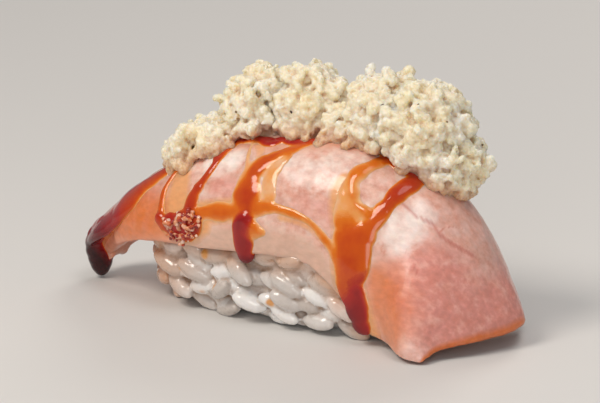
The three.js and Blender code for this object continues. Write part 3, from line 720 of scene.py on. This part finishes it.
def glaze_material():
    """Chilli glaze, sugar syrup boiled thick: mirror-smooth, amber where thin and dark red where thick."""
    material, tree, shader, place = new_material("chilli_sugar_glaze")
    depth = add(tree, "Attribute", out="Fac", attribute_name="glaze_depth")
    swirl = add(tree, "TexNoise", {"Vector": place, "Scale": 1 / (2.5 * MM)})
    share = add(tree, "MapRange", {"Value": uneven(tree, depth, swirl, 0.2), "From Max": 4})
    colour = add(tree, "ValToRGB", {"Fac": share}, [
        (0, "#e3b28a"), (0.04, "#e19a58"), (0.09, "#d5711c"), (0.15, "#c85611"), (0.23, "#b53c13"),
        (0.34, "#a5221a"), (0.55, "#7d1218"), (1, "#33090d"),
    ])
    connect(tree, shader, {
        "Base Color": colour, "Roughness": 0.09, "IOR": 1.37,
        "Subsurface Weight": 0.3, "Subsurface Radius": (1.0, 0.35, 0.1), "Subsurface Scale": 0.9 * MM,
        "Coat Weight": 0.2, "Coat Roughness": 0.04,
    })
    return material


def rice_material():
    """Cooked short-grain rice, pressed while warm: milky, moist, light passes deep into each grain."""
    material, tree, shader, place = new_material("cooked_rice")
    names = ("hollow_shade", "stain_and_shade_warmth", "tone", "stain")
    hollow_shade, stain_and_shade_warmth, tone, stain = [add(tree, "Attribute", out="Fac", attribute_name=name) for name in names]
    patches = add(tree, "TexNoise", {"Vector": place, "Scale": 1 / (5 * MM), "Detail": 3})
    starch = add(tree, "TexNoise", {"Vector": place, "Scale": 1 / (0.7 * MM), "Detail": 3})
    whiteness = uneven(tree, tone, patches, 0.25)
    colour = add(tree, "ValToRGB", {"Fac": whiteness}, [(0.1, "#c2b8b0"), (0.5, "#d7d1cc"), (0.9, "#ebe8e5")])
    warm = add(tree, "Math", {0: stain_and_shade_warmth, 1: patches}, operation="MULTIPLY")
    # Painted shade: a darker, browner grain colour in the creases between grains.
    colour = tinted(tree, colour, linear("#a88364"), hollow_shade, 0, 0.3, 0.95)
    # Warmer near the slice, which stains the grains, and at the block's tail end, where it is painted shade.
    colour = tinted(tree, colour, linear("#c99c7c"), warm, 0, 2 / 3, 1)
    colour = tinted(tree, colour, linear("#d8912f"), stain, 0, 1, 1)
    connect(tree, shader, {
        "Base Color": colour,
        "Roughness": add(
            tree, "MapRange",
            {"Value": starch, "From Min": 0.3, "From Max": 0.7, "To Min": 0.2, "To Max": 0.45},
        ),
        "Normal": add(tree, "Bump", {"Height": starch, "Strength": 0.25, "Distance": 0.12 * MM}),
        "Subsurface Weight": 0.5, "Subsurface Radius": (1.0, 0.88, 0.75), "Subsurface Scale": 1.0 * MM,
        "IOR": 1.42, "Coat Weight": 1.0, "Coat Roughness": 0.07,
    })
    return material


def crumb_material():
    """Tempura batter dripped into hot oil: crisp and full of bubbles, cream, with golden painted shade where
    its skin dips and creases.
    """
    material, tree, shader, place = new_material("fried_tempura_batter")
    patches = add(tree, "TexNoise", {"Vector": place, "Scale": 1 / (5 * MM), "Detail": 4})
    bubbles = {"Vector": place, "Scale": 1 / (0.55 * MM), "Smoothness": 0.6}
    froth_and_shade = add(tree, "TexVoronoi", bubbles, feature="SMOOTH_F1")
    colour = add(tree, "ValToRGB", {"Fac": patches}, [(0.34, "#ecdfc0"), (0.5, "#efe6cf"), (0.68, "#f2ebdd")])
    # Painted shade: golden where the skin dips between crumbs and between the bubbles on each; soak is the
    # glaze's own stain.
    for name, shade, low, high, most in (
        ("froth_and_shade", "#d0a869", 0.03, 0.22, 0.6), ("gap_shade", "#c59856", 0.2, 1.2, 0.8),
        ("soak", "#c27c4a", 0.25, 1.1, 0.8),
    ):
        depth = add(tree, "Attribute", out="Fac", attribute_name=name)
        colour = tinted(tree, colour, linear(shade), depth, low, high, most)
    connect(tree, shader, {
        # Painted shade again: golden in the creases between the bubbles that the bump makes.
        "Base Color": tinted(tree, colour, linear("#d3b27c"), froth_and_shade, 0.3, 0.75, 0.3),
        "Normal": add(tree, "Bump", {"Height": froth_and_shade, "Strength": 0.9, "Distance": 0.3 * MM}, invert=True),
        "Subsurface Weight": 1.0, "Subsurface Radius": (1.0, 0.85, 0.62), "Subsurface Scale": 2.4 * MM,
        "Roughness": 0.38, "IOR": 1.45, "Coat Weight": 0.15, "Coat Roughness": 0.25,
    })
    return material


def soaked_material():
    """Crumbs soaked with glaze: wet and sticky, each bubble anything from cream to dark red."""
    material, tree, shader, place = new_material("glaze_soaked_batter")
    tone = add(tree, "Attribute", out="Fac", attribute_name="tone")
    grain = add(tree, "TexNoise", {"Vector": place, "Scale": 1 / (0.8 * MM), "Detail": 3})
    colour = add(tree, "ValToRGB", {"Fac": uneven(tree, tone, grain, 0.25)}, [
        (0, "#7c1614"), (0.25, "#a0281a"), (0.42, "#c4582a"), (0.58, "#d68a5c"), (0.78, "#e0ab90"),
        (1, "#ead0bf"),
    ])
    connect(tree, shader, {
        "Base Color": colour, "Roughness": 0.16, "IOR": 1.45,
        "Subsurface Weight": 0.3, "Subsurface Radius": (1.0, 0.4, 0.2), "Subsurface Scale": 0.6 * MM,
        "Coat Weight": 0.5, "Coat Roughness": 0.06,
    })
    return material


def fleck_material():
    """Dark brown flecks, dry: partly batter fried too long, partly painted shadow of small holes in the heap.
    """
    material, tree, shader, place = new_material("batter_flecks_and_hole_shadows")
    grain = add(tree, "TexNoise", {"Vector": place, "Scale": 1 / (1.5 * MM)})
    colour = add(tree, "ValToRGB", {"Fac": grain}, [(0.4, "#4a3a2d"), (0.6, "#86643f")])
    connect(tree, shader, {"Base Color": colour, "Roughness": 0.6})
    return material


# --- pieces


def tuna_flesh():
    mesh = slice_mesh()
    points = read(mesh.vertices, "co", 3)
    station, depth = [read(mesh.attributes[name].data, "value", 1)[:, 0] for name in ("station", "depth")]
    # The pale patches are partly painted highlight and sheen.
    for name, patches in (("film", FILMS), ("stain", STAINS), ("blush", BLUSHES), ("pale", PALE_FLESH_AND_SHEEN)):
        store(mesh, name, closeness(points, patches))
    store(mesh, "muscle_line", line_closeness(points, MUSCLE_LINES))
    side = ramp(depth, *CUT_SIDE["depth"]) * ramp(station, *CUT_SIDE["to_broad_end"])
    store(mesh, "cut_side", side * ramp(station, *CUT_SIDE["from_tail"]))
    end = ramp(depth, *RIM["end_depth"]) * ramp(station, *RIM["end_from"])
    end = np.maximum(end, ramp(station, *RIM["very_end"]))
    tail = ramp(depth, *RIM["tail_depth"]) * ramp(station, *RIM["tail_to"])
    store(mesh, "rim", np.maximum(end, RIM["tail_strength"] * tail))
    return mesh


def glaze_beads(flesh_tree):
    """Beads sunk in the flesh, close enough to run into one, each with its extra depth of colour."""
    beads = []
    widening = 1 / math.sqrt(1 - (1 - GLAZE["cap"]) ** 2)
    for height, extra, knots in GLAZE_RUNS:
        for point, (station, across, width) in path_on_slice(knots, GLAZE["step"]):
            last = GLAZE["last_facing"]
            up = outward_at(station, min(max(across, -last), last))
            past = min(max(abs(across) - GLAZE["droop_start"], 0), GLAZE["droop_length"])
            down = past / GLAZE["droop_length"] * GLAZE["droop_most"]
            facing = up * (1 - down) + Vector((0, math.copysign(down, across), 0))
            if abs(across) < 1:
                point = flesh_tree.find_nearest(point)[0]
            facing.normalize()
            swelling = noise.noise(point / (GLAZE["swelling"] * max(width, 1)))
            radius = width * (1 + GLAZE["unevenness"] * swelling)
            shows = height * math.sqrt(radius)
            tall = min(shows / GLAZE["cap"], max(radius, shows))
            size = (widening * radius, widening * radius, tall)
            beads.append((placing(point - facing * (tall - shows), size, facing), extra))
    beads += [(placing(Vector(middle), size), TAIL_DEPTH["drop"]) for middle, size in TAIL_DROP]
    return beads


def chilli_glaze(flesh_tree):
    beads = glaze_beads(flesh_tree)
    bm = fused(joined("glaze", ball(3), [bead[0] for bead in beads]), GLAZE["voxel"], GLAZE["smoothing"])
    stand_on_table(bm)
    mesh = mesh_of(bm, "chilli_glaze")
    lookup = lookup_of([matrix.translation for matrix, _ in beads])
    depths = []
    for vert in mesh.vertices:
        height = flesh_tree.find_nearest(vert.co)[3]
        near = lookup.find_n(vert.co, GLAZE["beads_near"])
        extra = sum(beads[i][1] for _, i, _ in near) / len(near)
        if vert.co.x < TAIL_DEPTH["tail_before"]:
            paleness = smoothstep(TAIL_DEPTH["dark_below"], TAIL_DEPTH["pale_above"], vert.co.z)
            extra += TAIL_DEPTH["extra"] * (1 - paleness)
        depths.append(height + extra * min(height / GLAZE["thin_edge"], 1))
    store(mesh, "glaze_depth", depths)
    return mesh


def rice_point(direction):
    """Outermost point of the rice block in a direction, and the way its surface faces there."""
    size = RICE["reach"].copy()
    if direction.z < 0:
        size.z = RICE["reach_below"]
    power = RICE["squareness"]
    radius = sum(abs(part) ** power for part in direction) ** (-1 / power)
    unit = direction * radius
    facing = Vector([math.copysign(abs(u) ** (power - 1), u) / s for u, s in zip(unit, size)])
    return Vector([u * s for u, s in zip(unit, size)]) + RICE["middle"], facing.normalized()


def grain_shape():
    """One cooked grain: a plump spindle, a little bent."""
    bm = bmesh.new()
    bmesh.ops.create_uvsphere(bm, u_segments=8, v_segments=6, radius=1)
    bmesh.ops.rotate(bm, verts=bm.verts, cent=(0, 0, 0), matrix=Matrix.Rotation(math.pi / 2, 3, "X"))
    for vert in bm.verts:
        plump = 1 - GRAIN["pointed"] * vert.co.y ** 4
        vert.co.x = vert.co.x * plump + GRAIN["bent"] * vert.co.y ** 2
        vert.co.z *= plump
    bmesh.ops.triangulate(bm, faces=bm.faces)
    return pattern_of(bm)


def rice_grains(flesh_tree):
    """Where every grain that shows lies, and the shape of each."""
    rng = random.Random(21)
    placings = []
    for tries, spacing, least, most in GRAIN_LAYERS:
        taken = np.empty((0, 3))
        for _ in range(tries):
            turn = math.pi / 2 + GRAIN["lying"] * (2 * rng.random() - 1)
            tilt = random_direction(rng)
            growth = varied(rng, *GRAIN["growth"])
            sunk = varied(rng, least, most - least)
            point, facing = rice_point(random_direction(rng))
            covered = flesh_tree.ray_cast(point, facing, GRAIN["covered_within"])[0] is not None
            if point.z < GRAIN["lowest"] or covered:
                continue
            size = Vector((GRAIN["width"], GRAIN["length"], GRAIN["width"] * GRAIN["flatness"])) * growth / 2
            tilted = (facing + GRAIN["tilting"] * tilt).normalized()
            matrix = placing(point - facing * sunk, size, tilted, turn)
            balls = np.array([matrix @ Vector((0, along, 0)) for along in GRAIN["balls"]])
            if len(taken) and np.linalg.norm(taken[:, None] - balls[None], axis=2).min() < spacing:
                continue
            taken = np.concatenate([taken, balls])
            placings.append(matrix)
    return placings


def rice_block(flesh_tree):
    placings = rice_grains(flesh_tree)
    bm = bmesh.new()
    bmesh.ops.create_uvsphere(bm, u_segments=48, v_segments=32, radius=1)
    for vert in bm.verts:
        point, facing = rice_point(vert.co.normalized())
        vert.co = point - RICE["core_depth"] * facing
    bm.from_mesh(joined("grains", grain_shape(), placings))
    bm = fused(mesh_of(bm, "rice"), GRAIN["voxel"], smoothing=1)
    stand_on_table(bm)
    roughen(bm, GRAIN_UNEVENNESS)
    for vert in bm.verts:
        vert.co.z = max(vert.co.z, CUT_HEIGHT)
    mesh = mesh_of(bm, "rice_block")
    # Painted shade goes where the skin lies below its smoothed self, in the creases between grains.
    store(mesh, "hollow_shade", hollows(mesh, rounds=10))
    balls = [Vector((0, along, 0)) for along in GRAIN["balls"]]
    lookup = lookup_of([matrix @ ball for matrix in placings for ball in balls])
    rng = random.Random(4)
    whiteness = [rng.random() for _ in placings]
    nearest = [lookup.find(vert.co)[1] // len(balls) for vert in mesh.vertices]
    store(mesh, "tone", [whiteness[i] for i in nearest])
    # Grains are warmer in colour close to the slice, which stains them, and at the block's tail end, where
    # the warmer colour is painted shade.
    store(mesh, "stain_and_shade_warmth", np.maximum(
        nearness(mesh, flesh_tree, *RICE["warm_near"]),
        [smoothstep(*RICE["warm_shade_end"], vert.co.x) for vert in mesh.vertices],
    ))
    spots = [(Vector(middle), size) for *middle, size in RICE_STAINS]
    store(mesh, "stain", [
        max(0.9 * (1 - smoothstep(0.5 * size, size, (vert.co - middle).length)) for middle, size in spots)
        for vert in mesh.vertices
    ])
    return mesh


def crumb_bubbles(rng, middle, radius, outward):
    """One crumb: a few lobes round its middle, bubbles on each, now and then a drip of batter."""
    lobes = [(middle, LOBE["core"] * radius)]
    for _ in range(rng.randint(*LOBE["count"])):
        way = (random_direction(rng) + LOBE["outward"] * outward).normalized()
        centre = middle + way * radius * varied(rng, *LOBE["place"])
        lobes.append((centre, radius * varied(rng, *LOBE["radius"])))
    found = list(lobes)
    for centre, size in lobes:
        for _ in range(BUBBLE["count"]):
            place = centre + random_direction(rng) * size
            found.append((place, BUBBLE["smallest"] + BUBBLE["spread"] * rng.random() ** 2))
    if rng.random() < DRIP["chance"]:
        way = (random_direction(rng) + DRIP["outward"] * outward).normalized()
        point = middle + way * radius * DRIP["start"]
        for _ in range(rng.randint(*DRIP["count"])):
            point = point + way * DRIP["step"]
            found.append((point, varied(rng, *DRIP["radius"])))
            way = (way + DRIP["wandering"] * random_direction(rng)).normalized()
    return found


def crumb_bunch(name, mounds, flesh_tree, seed):
    rng = random.Random(seed)
    every_mound = [(Vector(middle), Vector(size)) for bunch in BUNCHES.values() for middle, size in bunch]
    own = [(Vector(middle), Vector(size)) for middle, size in mounds]
    base = Vector((CRUMB["base"],) * 3)
    bubbles = []
    taken = []
    for i in range(CRUMB["tries"]):
        middle, size = own[i % len(own)]
        way = random_direction(rng)
        point = middle + Vector([w * s for w, s in zip(way, size)])
        fade = (1 - i / CRUMB["tries"]) ** 2
        radius = CRUMB["smallest"] + (CRUMB["largest"] - CRUMB["smallest"]) * fade
        inside = min(Vector([(a - b) / c for a, b, c in zip(point, m, s)]).length for m, s in every_mound)
        point -= way * CRUMB["inset"]
        if inside < CRUMB["outside"] or flesh_tree.ray_cast(point, Vector((0, 0, 1)))[0] is not None:
            continue
        if any((point - other).length < CRUMB["spacing"] * max(radius, size2) for other, size2 in taken):
            continue
        taken.append((point, radius))
        bubbles.extend(crumb_bubbles(rng, point, radius, way))
    placings = [placing(point, (size,) * 3, random_direction(rng)) for point, size in bubbles]
    placings += [placing(middle, size - base) for middle, size in own]
    for *place, radius in SEAM_CRUMBS.get(name, []):
        extra = crumb_bubbles(rng, Vector(place), radius, Vector((0, -1, 0.2)))
        placings += [placing(point, (size,) * 3) for point, size in extra]
    bm = fused(joined(name, ball(2), placings), CRUMB["voxel"], smoothing=3)
    roughen(bm, SWELLS)
    blister(bm, BLISTERS)
    pierce(bm, PORES)
    mesh = mesh_of(fused(mesh_of(bm, "bubbly"), CRUMB["voxel"], smoothing=1), name)
    # Painted shade: how far the skin lies below its smoothed self, over large and small spans.
    store(mesh, "gap_shade", hollows(mesh, rounds=60))
    store(mesh, "froth_and_shade", hollows(mesh, rounds=6))
    store(mesh, "soak", nearness(mesh, flesh_tree, *CRUMB["soaked_near"]))
    return mesh


def flecks_and_hole_shadows(bunches):
    """Little dark flakes lying on the heap: partly toasted batter, partly painted shadow of small holes."""
    rng = random.Random(12)
    placings = []
    for _ in range(FLECKS["count"]):
        mesh = rng.choice(bunches)
        face = rng.choice(mesh.polygons)
        size = varied(rng, *FLECKS["radius"])
        flake = [share * size for share in FLECKS["shape"]]
        placings.append(placing(face.center, flake, face.normal, math.pi * rng.random()))
    return joined("flecks_and_hole_shadows", ball(2), placings)


def soaked_crumbs():
    rng = random.Random(7)
    bubbles = []
    for station, across, radius in SOAKED:
        middle = slice_point(station, across)
        for _ in range(SOAKED_CRUMB["bubbles"]):
            offset = random_direction(rng) * radius * rng.random() ** 0.5
            size = varied(rng, *SOAKED_CRUMB["radius"])
            bubbles.append((middle + offset, size, rng.random()))
    placings = [placing(point, (size,) * 3) for point, size, _ in bubbles]
    bm = fused(joined("soaked", ball(2), placings), SOAKED_CRUMB["voxel"], smoothing=1)
    mesh = mesh_of(bm, "soaked_crumbs")
    lookup = lookup_of([point for point, _, _ in bubbles])
    store(mesh, "tone", [bubbles[lookup.find(vert.co)[1]][2] for vert in mesh.vertices])
    return mesh


def main():
    flesh = tuna_flesh()
    flesh_tree = BVHTree.FromPolygons(
        [vert.co.copy() for vert in flesh.vertices], [tuple(face.vertices) for face in flesh.polygons],
    )
    glaze = chilli_glaze(flesh_tree)
    rice = rice_block(flesh_tree)
    bunches = {
        name: crumb_bunch(name, mounds, flesh_tree, seed)
        for seed, (name, mounds) in enumerate(BUNCHES.items(), 5)
    }
    soaked = soaked_crumbs()
    finish_piece(flesh, "tuna_flesh", tuna_material(), "tuna_slice")
    finish_piece(glaze, "chilli_glaze", glaze_material(), "tuna_slice")
    finish_piece(soaked, "soaked_crumbs", soaked_material(), "tuna_slice")
    finish_piece(rice, "rice_block", rice_material(), "rice_bed")
    flecks = flecks_and_hole_shadows(list(bunches.values()))
    batter = crumb_material()
    for name, mesh in bunches.items():
        finish_piece(mesh, name, batter, "tempura_crumbs")
    finish_piece(flecks, "flecks_and_hole_shadows", fleck_material(), "tempura_crumbs")


# --- camera, floor and light

VIEW = dict(azimuth=33, elevation=15, lens=300, frame_width=98)  # degrees, millimetres
LOOK_AT = Vector((0.5, 0.0, 18.6))
# Lights: name, azimuth and elevation in degrees, distance and size in metres, power in watts, colour.
LIGHTS = [
    ("key", -25, 52, 0.55, 0.24, 1.65, "#fff6ec"), ("top", 70, 70, 0.6, 0.3, 0.6, "#ffffff"),
    ("rim", 190, 35, 0.6, 0.25, 0.8, "#fff8f0"), ("front", 30, 16, 0.6, 0.3, 0.8, "#ffffff"),
]
FLOOR = dict(size=3, colour="#d8d6d3", roughness=0.6)  # half its width, in metres
BACKDROP = dict(colour="#f4f4f6", strength=0.27)


def view_direction(azimuth, elevation):
    """From the part towards a camera at these angles."""
    turn, lift = math.radians(azimuth), math.radians(elevation)
    return Vector((math.sin(turn) * math.cos(lift), -math.cos(turn) * math.cos(lift), math.sin(lift)))


def add_camera():
    data = bpy.data.cameras.new("camera")
    data.lens = VIEW["lens"]
    data.clip_start = 0.01
    distance = VIEW["frame_width"] * VIEW["lens"] / data.sensor_width
    towards = view_direction(VIEW["azimuth"], VIEW["elevation"])
    camera = put_in_scene("camera", data)
    camera.location = (LOOK_AT + towards * distance) * MM
    camera.rotation_euler = towards.to_track_quat("Z", "Y").to_euler()
    bpy.context.scene.camera = camera


def add_light(name, azimuth, elevation, distance, size, power, colour):
    data = bpy.data.lights.new(name, "AREA")
    data.shape = "DISK"
    data.size = size
    data.energy = power
    data.color = linear(colour)[:3]
    towards = view_direction(azimuth, elevation)
    light = put_in_scene(name, data)
    light.location = towards * distance
    light.rotation_euler = towards.to_track_quat("Z", "Y").to_euler()


def add_studio():
    bm = bmesh.new()
    bmesh.ops.create_grid(bm, x_segments=1, y_segments=1, size=FLOOR["size"])
    floor = put_in_scene("floor", mesh_of(bm, "floor"))
    material, tree, shader, _ = new_material("pale_studio_floor")
    connect(tree, shader, {"Base Color": linear(FLOOR["colour"]), "Roughness": FLOOR["roughness"]})
    floor.data.materials.append(material)
    world = bpy.data.worlds.new("studio")
    world.use_nodes = True
    backdrop = {"Color": linear(BACKDROP["colour"]), "Strength": BACKDROP["strength"]}
    connect(world.node_tree, world.node_tree.nodes["Background"], backdrop)
    bpy.context.scene.world = world
    for light in LIGHTS:
        add_light(*light)
    bpy.context.scene.view_settings.view_transform = "Standard"


main()
add_camera()
add_studio()
